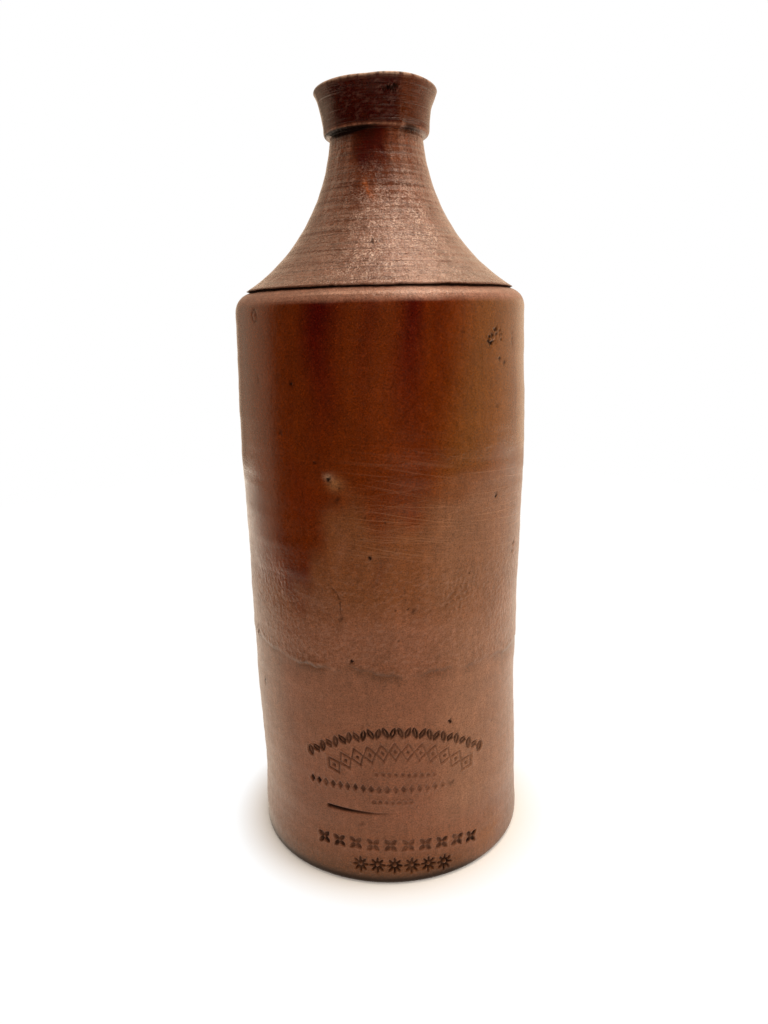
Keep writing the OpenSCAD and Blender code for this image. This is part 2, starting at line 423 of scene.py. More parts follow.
# The surface
# Every point of the bottle is the outline turned by its azimuth, moved sideways with the lean and pushed
# along the outline's normal by the marks. Cells near the marks, the stamps, the dip's edge at the front and
# the tear under the lip are cut finer.
def relief(az, z, along):
    """Outward push in millimetres at azimuth az, height z and distance along the outline."""
    outside = smooth(lip_path + 6, lip_path, along)
    body = smooth(1.0, 5.0, z) * smooth(groove_z - 1.0, groove_z - 5.0, z) * outside
    push = 0.14 * ripples(az, z, 26, 34.0, 1) + 0.05 * ripples(az, z, 40, 12.0, 2, 3.0)
    push = push * (0.25 + 0.75 * body)
    turning = np.cos(2 * np.pi * z / 7.3 + np.radians(az))
    turning += 0.6 * np.cos(2 * np.pi * z / 4.1 - np.radians(az))
    push += 0.03 * turning * outside
    edge = dip_line(az)
    ragged = 0.55 + 0.45 * ripples(az, np.zeros_like(z), 18, 9.0, 6)
    seen = 0.45 + 0.55 * smooth(75, 20, np.abs(around_gap(az, -12)))
    bead = bump_at(z, edge + 0.5, 1.2) * np.clip(ragged, 0.1, 1.4) * seen
    crumbled = 1 + 0.35 * ripples(az, z, 30, 1.8, 44)
    thicker = smooth(edge - 1.3, edge + 0.9, z) * smooth(edge + 24, edge + 2, z)
    under = bump_at(z, edge - 0.9, 0.5) * np.clip(ragged, 0.2, 1) * seen
    push += outside * (0.18 * bead * crumbled + 0.2 * thicker - 0.16 * under)
    marks = (field(az, z)[0] for field in (pit_field, scab_field, scratch_field, press))
    push -= outside * sum(marks)
    across, up = mark_distance(az, z, crinkle_az, crinkle_z)
    crinkled = bump_at(across, 0, 5.0) * bump_at(up, 0, 6.5)
    push += 0.12 * crinkled * ripples(az, z, 40, 1.4, 43)
    lip = smooth(lip_z - 0.5, lip_z + 1, z) * outside
    push += lip * 0.06 * ripples(az, z, 30, 4.0, 8, 6.0)
    tear = bump_at(around_gap(az, tear_az), 0, 16) * bump_at(z, lip_z + 1.2, 1.1)
    push -= 0.9 * tear * outside
    push += 0.5 * bump_at(around_gap(az, tear_lump_az), 0, 4) * bump_at(z, lip_z + 1.0, 2.2) * outside
    from_crease = around_gap(az, tear_crease_az + 0.5 * (z - lip_z))
    crease = bump_at(from_crease, 0, 1.4) * smooth(lip_z + 9, lip_z + 5, z)
    push -= 0.16 * crease * lip
    return push


def surface(along, az):
    """Outline at a distance along it and turned by az, pushed along its normal and leaned: metres."""
    r = np.interp(along, path, outline[:, 0])
    z = np.interp(along, path, outline[:, 1])
    nr = np.interp(along, path, row_normals[:, 0])
    nz = np.interp(along, path, row_normals[:, 1])
    inside = smooth(lip_path + 2, lip_path + 10, along)
    off_ground = smooth(-1.2, -0.9, -np.abs(nz) * (z < 0.5))
    push = relief(az, z, along) * (1 - 0.8 * inside) * smooth(0, 3, r) * off_ground
    rag = 0.05 * ripples(az, np.zeros_like(z), 30, 3.0, 9) * bump_at(z, groove_z, 0.6) * smooth(30, 36, r)
    chips = sum(bump_at(around_gap(az, chip), 0, 0.9) for chip in chip_az)
    rag = rag + 0.28 * chips * bump_at(z, groove_z + 0.45, 0.35) * smooth(30, 36, r)
    rim = 0.22 * np.tanh(around_gap(az, -2) / 6) * smooth(120, 40, np.abs(around_gap(az, 0)))
    rim = rim * smooth(lip_z + 6, bottle_h, z)
    turn = np.radians(az)
    r = r + nr * push
    z = z + nz * push + rag + rim
    lean = eased(z, lean_z, lean_shift) * smooth(-1, 3, z)
    oval = 1 + 0.0015 * np.cos(2 * turn + 0.6)
    return np.stack([r * oval * np.sin(turn) + lean, -r * oval * np.cos(turn), z], 1) * MM


tangent = np.gradient(outline, path, axis=0)
row_normals = np.stack([tangent[:, 1], -tangent[:, 0]], 1)
row_normals /= np.hypot(*row_normals.T)[:, None]

rows, columns = len(outline), len(column_az)
FINE = 4
cell_z = (outline[:-1, 1] + outline[1:, 1])[:, None] / 2
cell_path = (path[:-1] + path[1:])[:, None] / 2
next_az = np.append(column_az[1:], column_az[0] + 360)
cell_az = around_gap((column_az + next_az) / 2, 0)[None, :]
cell_out = cell_path < lip_path
all_az, all_z = cell_az + 0 * cell_z, cell_z + 0 * cell_az
depth, dark = press(all_az, all_z)
stamped = ((depth > 0.05) | (dark > 0.05)) & (cell_z > 1.5) & cell_out
stamped |= np.roll(stamped, 1, axis=0) | np.roll(stamped, -1, axis=0)
stamped |= np.roll(stamped, 1, axis=1) | np.roll(stamped, -1, axis=1)
fine = stamped
fine |= (np.abs(cell_z - dip_line(cell_az[0])[None, :]) < 2.0) & (np.abs(cell_az) < 68) & cell_out
fine |= (np.abs(cell_az - 35) < 30) & (np.abs(cell_z - lip_z - 1.4) < 3) & cell_out
fine |= (np.abs(cell_az - crinkle_az) < 8) & (np.abs(cell_z - crinkle_z) < 8) & cell_out
for marked, least in ((pit_field, 0.02), (scab_field, 0.02), (scratch_field, 0.012)):
    depth, dark = marked(all_az, all_z)
    fine |= ((np.abs(depth) > least) | (dark > 0.05)) & cell_out


def refined_grid(fine):
    """Closed tube of cells, rows by columns, with the marked cells cut FINE by FINE.

    Returns each vertex as (row, column) in fractions, and the faces. A plain cell beside a fine one takes
    the extra edge points as corners, so the skin stays closed.
    """
    n = FINE - 1
    step = np.arange(1, FINE) / FINE
    wide = np.concatenate([fine, np.zeros((1, columns), bool)])
    across = wide | np.concatenate([np.zeros((1, columns), bool), fine])
    upward = fine | np.roll(fine, 1, axis=1)
    grid_row, grid_col = np.meshgrid(np.arange(rows), np.arange(columns), indexing="ij")
    vertices = [np.stack([grid_row.ravel(), grid_col.ravel()], 1).astype(float)]
    total = rows * columns

    def number(mask, each):
        ids = np.full(mask.shape, -1)
        ids[mask] = total + np.arange(mask.sum()) * each
        return ids

    across_id = number(across, n)
    i, j = np.nonzero(across)
    vertices.append(np.stack([np.repeat(i, n), (j[:, None] + step).ravel()], 1))
    total += len(i) * n
    upward_id = number(upward, n)
    i, j = np.nonzero(upward)
    vertices.append(np.stack([(i[:, None] + step).ravel(), np.repeat(j, n)], 1))
    total += len(i) * n
    i, j = np.nonzero(fine)
    inner = total + np.arange(len(i))[:, None, None] * n * n + np.arange(n * n).reshape(n, n)
    up, side = np.meshgrid(step, step, indexing="ij")
    vertices.append(np.stack([(i[:, None, None] + up).ravel(), (j[:, None, None] + side).ravel()], 1))

    right = (j + 1) % columns
    local = np.empty((len(i), FINE + 1, FINE + 1), int)
    local[:, 0, 0], local[:, 0, -1] = i * columns + j, i * columns + right
    local[:, -1, 0], local[:, -1, -1] = (i + 1) * columns + j, (i + 1) * columns + right
    run = np.arange(n)
    local[:, 0, 1:-1] = across_id[i, j][:, None] + run
    local[:, -1, 1:-1] = across_id[i + 1, j][:, None] + run
    local[:, 1:-1, 0] = upward_id[i, j][:, None] + run
    local[:, 1:-1, -1] = upward_id[i, right][:, None] + run
    local[:, 1:-1, 1:-1] = inner
    quads = np.stack([local[:, :-1, :-1], local[:, :-1, 1:], local[:, 1:, 1:], local[:, 1:, :-1]], -1)
    faces = quads.reshape(-1, 4).tolist()

    i, j = np.nonzero(~fine)
    right = (j + 1) % columns
    low_id, top_id = across_id[i, j], across_id[i + 1, j]
    left_id, right_id = upward_id[i, j], upward_id[i, right]
    corners = np.stack([i * columns + j, i * columns + right, (i + 1) * columns + right,
                        (i + 1) * columns + j], 1)
    plain = (low_id < 0) & (top_id < 0) & (left_id < 0) & (right_id < 0)
    faces += corners[plain].tolist()
    for a, b, c, d, low_e, right_e, top_e, left_e in np.column_stack(
            [corners, low_id, right_id, top_id, left_id])[~plain].tolist():
        face = [a] + [low_e + k for k in range(n) if low_e >= 0]
        face += [b] + [right_e + k for k in range(n) if right_e >= 0]
        face += [c] + [top_e + k for k in reversed(range(n)) if top_e >= 0]
        face += [d] + [left_e + k for k in reversed(range(n)) if left_e >= 0]
        faces.append(face)
    return np.concatenate(vertices), faces


grid, faces = refined_grid(fine)
vertex_path = np.interp(grid[:, 0], np.arange(rows), path)
closed_az = np.append(column_az, column_az[0] + 360)
vertex_az = around_gap(np.interp(grid[:, 1], np.arange(columns + 1), closed_az), 0)
points = surface(vertex_path, vertex_az)
base_centre, floor_centre = len(points), len(points) + 1
points = np.concatenate([points, [[0, 0, 0], [0, 0, floor_z * MM]]])
ring = np.arange(columns)
faces += np.stack([np.roll(ring, -1), ring, np.full(columns, base_centre)], 1).tolist()
last = ring + (rows - 1) * columns
faces += np.stack([last, np.roll(last, -1), np.full(columns, floor_centre)], 1).tolist()

mesh = bpy.data.meshes.new("stoneware_bottle")
mesh.from_pydata(points.tolist(), [], faces)
mesh.shade_smooth()
bottle = bpy.data.objects.new("stoneware_bottle", mesh)
bpy.context.collection.objects.link(bottle)


# Where each finish lies
# The glaze isn't even: a glossy iron wash runs down the upper body in dark red streaks, the neck is
# flecked, with painted glints and highlights on its front, the foot is plain brown, and thick glaze lies
# dark in the pits, scratches and stamps. Painted shade darkens the shoulder's cut line, the gap and tear
# under the lip and the foot's bottom edge. The colours are laid over each other on the mesh's points, and
# the glaze reads them from there.
vertex_z = np.append(np.interp(vertex_path, path, outline[:, 1]), [0, floor_z])
vertex_az = np.append(vertex_az, [0, 0])
vertex_path = np.append(vertex_path, [0, path[-1]])
level = np.zeros_like(vertex_z)
outer = smooth(lip_path + 3, lip_path, vertex_path)


def linear(tint):
    """Linear colour of a tint named in 0 to 255."""
    c = np.array(tint) / 255
    return np.where(c <= 0.04045, c / 12.92, ((c + 0.055) / 1.055) ** 2.4)


def window(az, start, end, soft):
    """1 between two azimuths and 0 outside, over soft degrees each way."""
    middle, half = (start + end) / 2, (end - start) / 2
    return smooth(half + soft, half - soft, np.abs(around_gap(az, middle)))


def span(start, end, soft):
    """The window at every point of the bottle."""
    return window(vertex_az, start, end, soft)


def patch(az, z, width, height):
    """Soft oval patch: bell in azimuth degrees times bell in height, its edge stirred by slow ripples."""
    across = around_gap(vertex_az, az) + 2.0 * stir
    return bump_at(across, 0, width) * bump_at(vertex_z, z + 2.0 * stir, height)


stir = ripples(vertex_az, vertex_z, 24, 9.0, 31)
fine_stir = ripples(vertex_az, vertex_path, 30, 3.5, 32)
runs = ripples(vertex_az, vertex_z * 0.1, 26, 9.0, 33)
at_front = span(-62, 62, 12)

tint = np.tile(linear((111, 68, 48)), (len(vertex_z), 1))


def lay(colour, amount):
    """Lays a colour over what is there, by an amount from 0 to 1 at every point."""
    tint[:] += (linear(colour) - tint) * np.clip(amount, 0, 1)[:, None]


# The lower body, lighter at the sides, partly painted sheen, and darker towards the foot, partly painted
# shade.
# Lighter at the right and the left: partly the clay's own tone, partly painted sheen.
lay((118, 79, 57), span(22, 110, 12))
lay((118, 83, 64), span(-115, -47, 7))
lay((102, 60, 42), 0.8 * smooth(56, 34, vertex_z) * span(-36, 14, 10))
lay((103, 61, 41), 0.8 * smooth(27, 15, vertex_z))
lay((96, 50, 30), 0.6 * patch(-38, 30, 11, 9))
# Darker low on the foot: partly grime, partly painted shade near the paper.
lay((76, 38, 10), smooth(13, 3, vertex_z) * (0.95 - 0.6 * span(34, 110, 8)))
lay((112, 62, 24), patch(46, 9, 9, 6))
# A dark band along the foot's bottom edge: painted shadow where it meets the paper.
lay((34, 14, 6), 0.95 * smooth(4.6, 1.6, vertex_z + 1.6 * span(34, 110, 12)))
lay((102, 54, 22), smooth(82, 99, vertex_z))
lay((110, 71, 47), 0.9 * smooth(82, 99, vertex_z) * span(17, 110, 9))
lay((100, 50, 14), smooth(88, 104, vertex_z) * span(-115, -43, 5))

# The iron wash: the height that it reaches down to, by azimuth, its runs and the marks in it.
wash_az = [-180, -130, -62, -46, -38, -31, -25, -19, -10, 0, 10, 20, 40, 60, 120, 180]
wash_z = [112, 103, 103, 98, 93, 97, 112, 126, 122, 117, 119, 126, 131, 131, 118, 112]
wash_foot = np.interp(vertex_az, wash_az, wash_z) + 2.5 * stir
wash_top = groove_z - 3.6 + 0.12 * ripples(vertex_az, level, 10, 13.0, 21)
wash = smooth(wash_foot - 8, wash_foot + 9, vertex_z)
lay((90, 32, 0), wash)
lay((100, 54, 14), wash * window(vertex_az - 0.25 * (vertex_z - 150), 26, 105, 10))
lay((91, 36, 4), wash * span(-110, -42, 6))

seen_runs = np.zeros_like(level)
for run_az, run_width, run_foot, strength in [
        (-22, 7.0, 128, 1.0), (-7, 4.0, 134, 0.45), (11, 6.5, 128, 0.9), (21, 4.0, 140, 0.45),
        (-34, 3.0, 104, 0.15)]:
    across = around_gap(vertex_az, run_az) + 1.1 * ripples(vertex_az, vertex_z, 12, 26.0, 34)
    run = strength * bump_at(across, 0, run_width) * smooth(run_foot - 6, run_foot + 52, vertex_z)
    seen_runs = np.maximum(seen_runs, run)
other_runs = smooth(0.1, 1.2, runs) * smooth(112, 150, vertex_z)
streaked = seen_runs * at_front + other_runs * (1 - at_front)
lay((64, 2, 0), streaked)
lay((74, 20, 0), 0.95 * patch(-34, 102, 7, 9) + 0.4 * patch(-2, 103, 6, 5))
lay((88, 25, 0), 0.7 * patch(-29, 124, 6, 9))
lay((107, 66, 46), 0.8 * patch(-25, 92, 9, 5) + 0.35 * patch(-16, 110, 5, 8))
lay((132, 92, 56), 0.6 * bump_at(vertex_az, -17.4, 2.6) * bump_at(vertex_z, 129.9, 1.7))
lay((150, 116, 90), 0.75 * bump_at(vertex_az, -19.6, 1.5) * bump_at(vertex_z, 131.9, 1.0))

# The rounded shoulder above the wash, and the neck, with a painted highlight and glint on its front and
# painted shade under the lip.
shoulder = smooth(wash_top - 0.8, wash_top + 0.7, vertex_z)
lay((130, 84, 64), shoulder)
neck = smooth(groove_z, groove_z + 1, vertex_z)
lay((116, 73, 54), neck)
lay((100, 56, 34), 0.6 * neck * patch(-26, 200, 9, 12))
# Lighter low on the front of the neck: painted highlight of the lamp above.
lay((132, 92, 74), 0.7 * neck * span(-14, 40, 12) * smooth(215, 200, vertex_z))
upper_share = smooth(0.2, -0.8, runs + 1.2 * (0.3 - at_front))
lay((100, 44, 16), 0.8 * neck * smooth(198, 214, vertex_z) * upper_share)
# A bright patch where the neck meets the shoulder: painted highlight.
glare_az = around_gap(vertex_az, 14 + 3 * stir)
glare = bump_at(glare_az, 0, 9) * bump_at(vertex_z, 187, 10) * np.maximum(shoulder, neck)
lay((182, 138, 118), 0.5 * glare)
# Darker to the right of it: painted shade that ends the highlight.
lay((100, 60, 40), 0.5 * neck * bump_at(vertex_z, 186, 7) * span(30, 75, 8))
red_spans = (-23, 13), (100, 150), (-150, -105)
red_az = vertex_az + 4 * stir * smooth(lip_z, lip_z - 8, vertex_z)
red_neck = np.maximum.reduce([window(red_az, start, end, 11) for start, end in red_spans])
lay((84, 30, 2), neck * smooth(205, 215, vertex_z + 2 * stir) * red_neck)
lay((56, 2, 0), neck * smooth(214, 221, vertex_z + 1.5 * stir) * red_neck)
# A small orange spot on the neck: painted glint.
lay((158, 76, 26), 0.8 * patch(-9, 211, 4.5, 1.5))
# Dark bands on the neck just under the lip, at the left and by the tear at the right: painted shade under
# the lip.
lay((40, 6, 0), 0.85 * smooth(lip_z - 4.5, lip_z - 1.0, vertex_z) * neck * span(-70, 2, 8))
lay((64, 30, 12), 0.7 * smooth(lip_z - 3.0, lip_z - 0.4, vertex_z) * neck * span(28, 62, 7))

# The lip, a painted highlight line on the shoulder, the lip's rubbed edges, and the clay inside and
# underneath.
lip = smooth(lip_z - 0.2, lip_z + 0.8, vertex_z)
lay((40, 0, 0), lip)
lay((70, 25, 3), lip * span(24, 100, 6))
lay((60, 16, 4), 0.2 * lip * smooth(0.0, 1.2, fine_stir))
# A thin pale line round the shoulder just under the cut: painted highlight.
lay((196, 150, 126), 0.5 * bump_at(vertex_z, 181.4, 0.45) * span(-28, 46, 14))
rim_worn = bump_at(vertex_path, lip_path - 0.5, 0.75) * smooth(-1.8, 0.2, fine_stir)
edge_worn = bump_at(vertex_z, lip_z + 0.75, 0.4) * (0.42 + 0.1 * fine_stir)
edge_worn *= span(-75, 110, 10)
lay((196, 158, 130), rim_worn * outer)
lay((150, 96, 70), edge_worn * outer)
clay_inside = smooth(lip_path + 2, lip_path + 9, vertex_path)
lay((120, 78, 52), clay_inside)
underside = smooth(1.2, 0.2, vertex_z)
lay((150, 108, 78), underside * outer)


def paint(name, values):
    """Stores one number per vertex on the mesh, for the glaze to read."""
    layer = mesh.attributes.new(name, "FLOAT", "POINT")
    layer.data.foreach_set("value", np.clip(values, 0, 1).astype(np.float32))


edge = dip_line(vertex_az)
ragged = np.clip(0.72 + 0.4 * ripples(vertex_az, level, 18, 9.0, 6), 0.3, 1)
ragged *= 0.4 + 0.6 * smooth(75, 15, np.abs(around_gap(vertex_az, -14)))
crumbs = smooth(-0.6, 0.9, ripples(vertex_az, vertex_z, 30, 1.8, 44))
# Under the dip's ridge a dark line and a wider soft dark band: partly the glaze's own edge, partly painted
# shade under the ridge. Above it, darker crumbs of glaze.
lay((62, 28, 12), (0.7 + 0.25 * crumbs) * bump_at(vertex_z, edge - 0.4, 0.6) * ragged * outer)
lay((80, 45, 26), 0.7 * bump_at(vertex_z, edge - 1.4, 1.9) * ragged * outer)
lay((84, 50, 34), 0.35 * crumbs * bump_at(vertex_z, edge + 2.6, 2.4) * ragged * outer)
stored = mesh.attributes.new("tint", "FLOAT_COLOR", "POINT")
stored.data.foreach_set("color", np.column_stack([tint, level + 1]).astype(np.float32).ravel())

# Dark in the pits, scabs, scratches and stamps: thick glaze. Dark in the shoulder's cut line, the gap and
# tear under the lip and along the foot's bottom edge: painted shade.
marks = [field(vertex_az, vertex_z)[1] for field in (pit_field, scab_field, scratch_field, press)]
cut = bump_at(vertex_z, groove_z, 0.42)
gap_end = np.interp(around_gap(vertex_az, 0), [-75, -55, -30, -14, 4], [0.3, 1.9, 1.7, 0.8, 0.0])
under_lip = smooth(-0.2, 0.5, gap_end - (lip_z + 0.35 - vertex_z)) * (gap_end > 0)
under_lip *= (vertex_z < lip_z + 0.6) & (vertex_z > lip_z - 3)
torn = bump_at(vertex_z, lip_z + 0.4, 0.8) * span(33, 52, 6)
foot_edge = 0.9 * smooth(3.4, 1.2, vertex_z + 1.4 * span(34, 110, 12))
paint("pooled_glaze_and_shade", np.maximum.reduce([*marks, cut, under_lip, 0.8 * torn, foot_edge]) * outer)
left_matt = 0.6 * span(-110, -46, 7) * smooth(128, 122, vertex_z)
paint("wash", wash * (1 - left_matt) * (1 - shoulder) * outer)
smooth_neck = 0.4 * red_neck * smooth(206, 216, vertex_z) * neck
paint("neck", (np.maximum(0.35 * shoulder, neck) - smooth_neck) * (1 - lip) * outer)
# Pale flecks on the neck and shoulder all round, gathered thick where the lamp's highlight falls on the
# front: partly flecks in the glaze, partly painted glints.
flecks_and_glints = bump_at(vertex_z, 197, 14) * span(-18, 42, 14) * (0.75 + 0.3 * fine_stir)
flecks_and_glints += 0.25 + 0.45 * (1 - at_front) * smooth(0, 1, stir)
flecks_and_glints *= np.maximum(0.25 * shoulder, neck) * (1 - lip) * smooth(222, 212, vertex_z)
paint("flecks_and_glints", flecks_and_glints * outer)
paint("lip", lip * outer)
clear = np.maximum(lip * span(-36, 110, 10), 2.5 * smooth_neck)
paint("clear", clear * outer * (1 - rim_worn))
paint("bare", np.clip(rim_worn + underside, 0, 1) * outer)
scuffed = span(-12, 78, 14) * bump_at(vertex_z, 119, 17)
scuffed += 0.6 * (1 - at_front) * bump_at(vertex_z, 118, 22)
paint("scuffed", scuffed * smooth(60, 90, vertex_z) * (1 - shoulder) * outer)
leather = smooth(edge - 1, edge + 1, vertex_z) * smooth(112, 96, vertex_z)
paint("leather", leather * (1 - patch(-33, 103, 10, 10)) * outer)


# The glaze
# Salt-glazed brown stoneware: an orange-peel skin of salt glaze over the iron wash, with fine lines from
# the turning tool, light and dark specks, painted glints on the neck, and rubbed lines at the middle of the
# body. It is glossiest on the neck and where the wash is thick.
glaze = bpy.data.materials.new("glazed_stoneware")
glaze.use_nodes = True
tree = glaze.node_tree
shader = tree.nodes["Principled BSDF"]


def add(kind, *links, **settings):
    """New node in the tree at hand: settings are its properties, links are (socket, value or output)."""
    made = tree.nodes.new(kind)
    for key, value in settings.items():
        setattr(made, key, value)
    for socket, value in links:
        if isinstance(value, bpy.types.NodeSocket):
            tree.links.new(value, made.inputs[socket])
        else:
            made.inputs[socket].default_value = value
    return made


def painted(name, output="Fac"):
    """Reads a painted number, or the painted colour."""
    return add("ShaderNodeAttribute", attribute_name=name).outputs[output]


def maths(operation, a, b=0.0):
    """a operation b."""
    return add("ShaderNodeMath", (0, a), (1, b), operation=operation).outputs[0]


def ramp(value, start, end, low=0.0, high=1.0):
    """low at start, high at end, straight between them."""
    return add("ShaderNodeMapRange", ("Value", value), ("From Min", start), ("From Max", end),
               ("To Min", low), ("To Max", high)).outputs["Result"]


def blend(amount, under, over, mode="MIX"):
    """Colour over laid on colour under by amount; a colour may be a tint in 0 to 255."""
    made = add("ShaderNodeMix", ("Factor", amount), data_type="RGBA", blend_type=mode)
    for socket, value in ((6, under), (7, over)):
        if isinstance(value, bpy.types.NodeSocket):
            tree.links.new(value, made.inputs[socket])
        else:
            made.inputs[socket].default_value = (*linear(value), 1)
    return made.outputs[2]


place = add("ShaderNodeTexCoord").outputs["Object"]


def grain(size_mm, squeeze=(1, 1, 1), detail=2.0, rough=0.55, tip=0.0):
    """Noise with features of about size_mm, tipped about Y in degrees, then squeezed along each axis."""
    tipped = add("ShaderNodeMapping", ("Vector", place), ("Rotation", (0, np.radians(tip), 0)))
    mapped = add("ShaderNodeMapping", ("Vector", tipped.outputs[0]), ("Scale", squeeze))
    return add("ShaderNodeTexNoise", ("Vector", mapped.outputs[0]), ("Scale", 1 / (size_mm * MM)),
               ("Detail", detail), ("Roughness", rough)).outputs["Fac"]


fleck = grain(0.42, (1, 1, 1.1), 2.0, 0.6)
speck = grain(1.1, (1, 1, 1), 3.0, 0.7)
cloud = grain(7.0, (1, 1, 0.7), 3.0, 0.5)
turned = grain(3.0, (0.1, 0.1, 6.0), 3.0, 0.6)
scored = grain(2.0, (0.07, 0.07, 5.0), 1.0, 0.5)
peel = grain(1.2, (1, 1, 0.8), 2.0, 0.5)
drips = grain(1.4, (1, 1, 0.25), 2.0, 0.5)
scuffs = [ramp(grain(2.4, (0.06, 0.06, 8.0), 0.0, 0.5, tip), 0.66, 0.77) for tip in (-5, -12, 7)]
scuffs = maths("MAXIMUM", maths("MAXIMUM", scuffs[0], scuffs[1]), maths("MULTIPLY", scuffs[2], 0.5))
scuffs = maths("MULTIPLY", scuffs, painted("scuffed"))

on_neck, on_lip, washed = painted("neck"), painted("lip"), painted("wash")
tone = painted("tint", "Color")
uneven = maths("MULTIPLY", ramp(cloud, 0.3, 0.7, 1.1, 0.9), ramp(fleck, 0.3, 0.7, 0.58, 1.42))
uneven = maths("MULTIPLY", uneven, ramp(drips, 0.3, 0.7, 0.9, 1.1))
tone = blend(1.0, tone, uneven, "MULTIPLY")
leathery = painted("leather")
mottle = grain(1.5, (0.8, 0.8, 1.5), 3.0, 0.7, 20)
unwashed = maths("MULTIPLY", ramp(washed, 0, 1, 1, 0), ramp(leathery, 0, 1, 0.45, 1.0))
pinkish = maths("MULTIPLY", ramp(mottle, 0.5, 0.7, 0, 0.34), unwashed)
tone = blend(maths("MULTIPLY", pinkish, ramp(on_neck, 0, 0.3, 1, 0)), tone, (138, 100, 82))
browner = maths("MULTIPLY", ramp(mottle, 0.5, 0.34, 0, 0.34), unwashed)
tone = blend(maths("MULTIPLY", browner, ramp(on_neck, 0, 0.3, 1, 0)), tone, (88, 50, 26))
light_flecks = maths("MULTIPLY", ramp(fleck, 0.62, 0.72, 0, 0.26), ramp(on_lip, 0, 1, 1, 0.3))
tone = blend(light_flecks, tone, (136, 64, 18))
tone = blend(ramp(speck, 0.68, 0.73, 0, 0.4), tone, (40, 14, 6))
grooved = maths("MULTIPLY", ramp(turned, 0.5, 0.66), ramp(on_neck, 0, 1, 0.06, 0.62))
tone = blend(grooved, tone, (56, 18, 6))
tone = blend(maths("MULTIPLY", scuffs, 0.19), tone, (176, 124, 90))
# Bright sparks on the neck: partly light flecks in the glaze, partly painted glints.
sparks = ramp(grain(0.5, (0.8, 0.8, 1.3), 3.0, 0.7), 0.46, 0.66)
sparks = maths("MULTIPLY", sparks, ramp(grain(3.0, (1, 1, 0.6), 2.0, 0.5), 0.38, 0.58, 0.15, 1.0))
sparks = maths("MULTIPLY", sparks, painted("flecks_and_glints"))
tone = blend(maths("MULTIPLY", sparks, 0.9), tone, (230, 192, 168))
tone = blend(maths("MULTIPLY", ramp(fleck, 0.46, 0.34, 0, 0.4), on_neck), tone, (52, 20, 10))
# Near black where glaze is thick in the marks, and painted shade in the cut line, under the lip, in the
# tear and at the foot's edge.
pooled_glaze_and_shade = painted("pooled_glaze_and_shade")
tone = blend(maths("MULTIPLY", pooled_glaze_and_shade, 0.96), tone, (20, 9, 6))
tree.links.new(tone, shader.inputs["Base Color"])

rough = ramp(washed, 0, 1, 0.42, 0.27)
glossier = maths("MAXIMUM", ramp(on_neck, 0, 1, 0, 0.14), ramp(on_lip, 0, 1, 0, 0.2))
rough = maths("SUBTRACT", rough, glossier)
rough = maths("ADD", rough, ramp(grain(1.7), 0.3, 0.7, -0.04, 0.06))
rough = maths("ADD", rough, maths("MULTIPLY", painted("bare"), 0.35))
tree.links.new(rough, shader.inputs["Roughness"])


def raise_by(height, depth_mm, strength, under=None):
    """Bump of a height from 0 to 1 and a depth, on top of another bump."""
    made = add("ShaderNodeBump", ("Height", height), ("Strength", strength), ("Distance", depth_mm * MM))
    if under:
        tree.links.new(under.outputs[0], made.inputs["Normal"])
    return made


coarse = maths("MAXIMUM", on_neck, maths("MULTIPLY", leathery, 0.6))
skin = raise_by(peel, 0.42, ramp(coarse, 0, 1, 0.1, 1.0))
skin = raise_by(drips, 0.4, ramp(on_neck, 0, 1, 0.0, 0.8), skin)
skin = raise_by(turned, 0.26, ramp(maths("MAXIMUM", on_neck, on_lip), 0, 1, 0.04, 1.0), skin)
skin = raise_by(ramp(scored, 0.6, 0.75), 0.14, ramp(on_lip, 0, 1, 0.04, 1.0), skin)
skin = raise_by(scuffs, 0.05, 0.5, skin)
rings = ramp(grain(2.6, (0.03, 0.03, 1.3), 1.0, 0.5), 0.42, 0.6)
skin = raise_by(rings, 0.35, ramp(on_neck, 0.4, 0.9, 0.0, 1.0), skin)
skin = raise_by(fleck, 0.2, ramp(on_neck, 0, 1, 0.22, 1.0), skin)
tree.links.new(skin.outputs[0], shader.inputs["Normal"])
shader.inputs["IOR"].default_value = 1.4
clear = maths("MAXIMUM", pooled_glaze_and_shade, maths("MULTIPLY", painted("clear"), 0.6))
tree.links.new(ramp(clear, 0, 1, 0.5, 0.08), shader.inputs["Specular IOR Level"])
shader.inputs["Specular Tint"].default_value = (1, 0.7, 0.5, 1)
thick = maths("MAXIMUM", maths("MULTIPLY", on_neck, 0.85), maths("MULTIPLY", on_lip, 0.38))
glassy = maths("MAXIMUM", ramp(washed, 0, 1, 0.12, 0.5), thick)
dulled = ramp(maths("MAXIMUM", painted("bare"), pooled_glaze_and_shade), 0, 1, 1, 0)
tree.links.new(maths("MULTIPLY", glassy, dulled), shader.inputs["Coat Weight"])
shader.inputs["Coat Roughness"].default_value = 0.12
shader.inputs["Coat IOR"].default_value = 1.45
tree.links.new(skin.outputs[0], shader.inputs["Coat Normal"])
mesh.materials.append(glaze)

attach(bottle, "root")
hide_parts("bottle")


# The table and the light
# A sheet of white paper under a light tent: the tent is white behind, above and at the right, and open
# towards the camera, where the room is dark. The paper's near edge and the tent's left show in the glaze.

